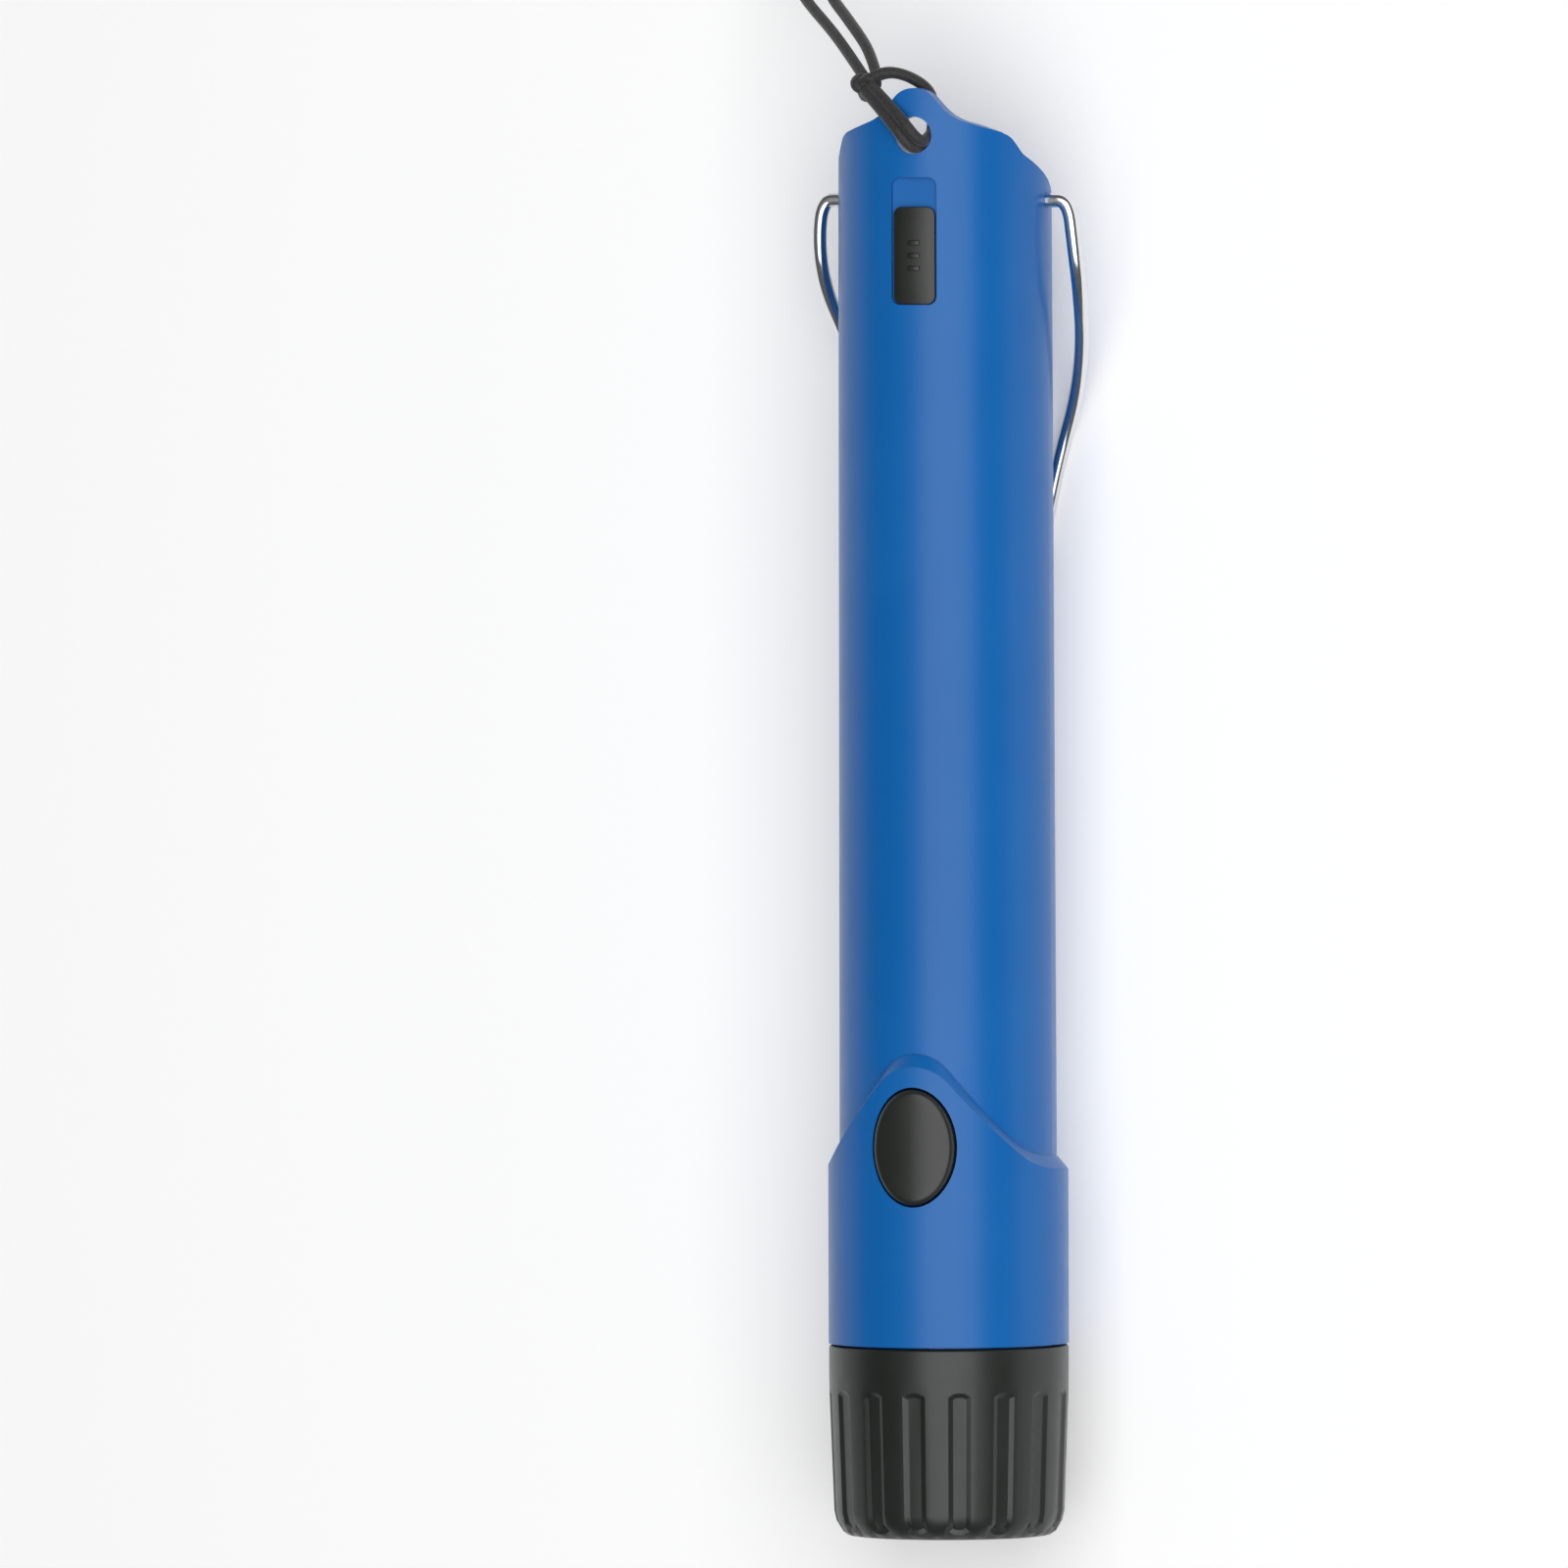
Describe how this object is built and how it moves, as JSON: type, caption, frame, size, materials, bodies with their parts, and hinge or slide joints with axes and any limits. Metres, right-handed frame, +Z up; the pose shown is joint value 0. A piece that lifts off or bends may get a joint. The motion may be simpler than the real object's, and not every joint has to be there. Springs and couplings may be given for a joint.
{
  "type": "pinpointer probe",
  "caption": "Round hand probe with a fluted bayonet nose cap, oval push button, slide switch, hinged wire clip and a corded tab.",
  "frame": {"origin": "under the middle of the probe, on the surface that its clip rests on", "axes": "+Y along the barrel towards the cord tab, +Z up out of the side with the button and switch, +X to the right of a reader who looks down on the button with the tab away"},
  "size_m": [0.0679, 0.2664, 0.0373],
  "materials": {
    "blue_housing": "satin moulded blue plastic",
    "black_cap": "satin black plastic",
    "black_button": "satin black plastic",
    "black_rubber": "matt rubber",
    "bright_wire": "bright plated spring wire",
    "black_cord": "braided cord",
    "circuit_board": "green solder mask",
    "grey_chassis": "moulded grey plastic",
    "steel": "plated steel",
    "aluminium_can": "satin",
    "ferrite": "matt sintered",
    "copper_wire": "enamelled winding wire",
    "cell_jacket": "plain printed jacket"
  },
  "bodies": {
    "housing": {"barrel": "blue_housing", "front_sleeve": "blue_housing", "cap_seal": "black_rubber", "tactile_switch": "black_cap", "slide_switch": "black_cap", "switch_board": "circuit_board", "chassis": "grey_chassis", "main_board": "circuit_board", "chassis_screws": "steel", "main_chip": "black_cap", "capacitors": "aluminium_can", "buzzer": "black_cap", "vibration_motor": "steel", "front_bulkhead": "grey_chassis", "coil_former": "grey_chassis", "ferrite_core": "ferrite", "search_coil": "copper_wire", "battery_carrier": "black_cap", "battery_cells": "cell_jacket", "battery_contacts": "steel", "battery_springs": "steel", "cord_hitch": "black_cord", "cord_knot": "black_cord", "wrist_cord_out": "black_cord", "wrist_cord_back": "black_cord", "cord_coil": "black_cord"},
    "nose_cap": {"nose_cap": "black_cap"},
    "push_button": {"push_button": "black_button"},
    "slide_knob": {"slide_knob": "black_button"},
    "wire_clip": {"wire_clip": "bright_wire"}
  },
  "joints": [
    {"name": "cap_turn", "type": "hinge", "parent": "housing", "child": "nose_cap", "pos_m": [0, -0.095, 0.01875], "axis": [0, 1, 0], "range_deg": [0, 45]},
    {"name": "button_press", "type": "slide", "parent": "housing", "child": "push_button", "axis": [0, 0, -1], "range_m": [0, 0.001], "stiffness_N_per_m": 400, "springref_m": -0.001},
    {"name": "switch_slide", "type": "slide", "parent": "housing", "child": "slide_knob", "axis": [0, 1, 0], "range_m": [0, 0.004]},
    {"name": "clip_swing", "type": "hinge", "parent": "housing", "child": "wire_clip", "pos_m": [0, 0.0908, 0.01875], "axis": [1, 0, 0], "range_deg": [0, 90], "stiffness_Nm_per_rad": 0.02, "springref_deg": -11.46}
  ]
}
